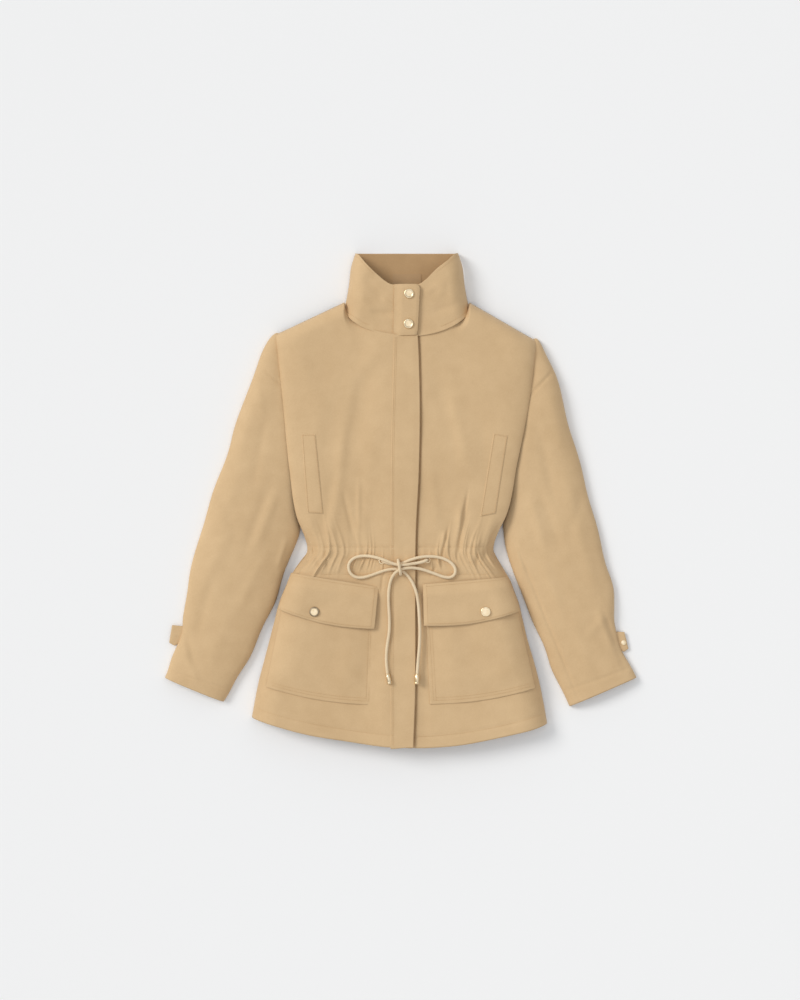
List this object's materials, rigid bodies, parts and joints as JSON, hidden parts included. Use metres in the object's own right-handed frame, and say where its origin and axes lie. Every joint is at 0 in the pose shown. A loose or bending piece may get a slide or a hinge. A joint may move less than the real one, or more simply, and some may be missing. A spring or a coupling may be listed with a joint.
{
  "type": "short drawstring-waist parka",
  "caption": "Short cotton parka laid flat: stand collar, snap collar tab, fly front, flap pockets and a tied drawcord waist.",
  "frame": {"origin": "on the floor under the middle of the coat's outline, without the loose drawcord", "axes": "+Y runs up the coat to the collar, +Z out of the coat's front, +X to the wearer's left; nodes named left are on the -X side, the wearer's right"},
  "size_m": [0.759, 0.795, 0.0521],
  "materials": {
    "shell_cotton": "matt cotton twill",
    "lining_cloth": "smooth lining",
    "cord": "braided cotton",
    "zip_tape": "woven tape",
    "zip_coil": "moulded",
    "hanger_tape": "woven tape",
    "label_satin": "satin",
    "antique_brass": "brushed",
    "pale_gold": "polished"
  },
  "bodies": {
    "coat": {"back_panel": "shell_cotton", "chest_pocket_bag_left": "lining_cloth", "chest_pocket_bag_right": "lining_cloth", "chest_welt_left": "shell_cotton", "chest_welt_right": "shell_cotton", "collar_back": "shell_cotton", "collar_leaf_left": "shell_cotton", "collar_leaf_right": "shell_cotton", "collar_snap_studs": "pale_gold", "cord_eyelets": "pale_gold", "cord_tip_left": "pale_gold", "cord_tip_right": "pale_gold", "drawcord_channel": "cord", "drawcord_left": "cord", "drawcord_right": "cord", "eyelet_washers": "pale_gold", "front_panel_left": "shell_cotton", "front_panel_right": "shell_cotton", "hanger_loop": "hanger_tape", "lining_back": "lining_cloth", "lining_front_left": "lining_cloth", "lining_front_right": "lining_cloth", "neck_label": "label_satin", "placket_lower": "shell_cotton", "pocket_pouch_left": "shell_cotton", "pocket_pouch_right": "shell_cotton", "pocket_snap_studs": "pale_gold", "sleeve_lining_left": "lining_cloth", "sleeve_lining_right": "lining_cloth", "sleeve_under_left": "shell_cotton", "sleeve_under_right": "shell_cotton", "sleeve_upper_left": "shell_cotton", "sleeve_upper_right": "shell_cotton", "waist_casing": "lining_cloth", "zip_box": "antique_brass", "zip_coil_left": "zip_coil", "zip_coil_right": "zip_coil", "zip_tape_left": "zip_tape", "zip_tape_right": "zip_tape", "zip_top_stops": "antique_brass"},
    "front_lapel": {"placket_upper": "shell_cotton", "collar_tab": "shell_cotton", "collar_snap_caps": "pale_gold", "collar_snap_sockets": "pale_gold"},
    "flap_left": {"pocket_flap_left": "shell_cotton", "pocket_snap_cap_left": "pale_gold", "pocket_snap_socket_left": "pale_gold"},
    "flap_right": {"pocket_flap_right": "shell_cotton", "pocket_snap_cap_right": "pale_gold", "pocket_snap_socket_right": "pale_gold"},
    "cuff_strap_left": {"cuff_tab_left": "shell_cotton", "cuff_snap_cap_left": "pale_gold"},
    "cuff_strap_right": {"cuff_tab_right": "shell_cotton", "cuff_snap_cap_right": "pale_gold"},
    "slider": {"zip_slider": "antique_brass", "zip_pull": "antique_brass"}
  },
  "joints": [
    {"name": "front_lapel_fold", "type": "hinge", "parent": "coat", "child": "front_lapel", "pos_m": [0.025, -0.07, 0.0435], "axis": [0.0818, -0.9966, 0], "range_deg": [0, 150]},
    {"name": "pocket_flap_left_lift", "type": "hinge", "parent": "coat", "child": "flap_left", "pos_m": [-0.036, -0.1365, 0.0426], "axis": [-0.9932, 0.1166, 0], "range_deg": [0, 120]},
    {"name": "pocket_flap_right_lift", "type": "hinge", "parent": "coat", "child": "flap_right", "pos_m": [0.036, -0.1365, 0.0426], "axis": [-0.9932, -0.1166, 0], "range_deg": [0, 120]},
    {"name": "cuff_strap_left_lift", "type": "hinge", "parent": "coat", "child": "cuff_strap_left", "pos_m": [-0.3545, -0.205, 0.0039], "axis": [0, 1, 0], "range_deg": [0, 85]},
    {"name": "cuff_strap_right_lift", "type": "hinge", "parent": "coat", "child": "cuff_strap_right", "pos_m": [0.3545, -0.205, 0.0039], "axis": [0, -1, 0], "range_deg": [0, 85]},
    {"name": "zip_slide", "type": "slide", "parent": "coat", "child": "slider", "axis": [0, -1, 0], "range_m": [0, 0.66]}
  ]
}
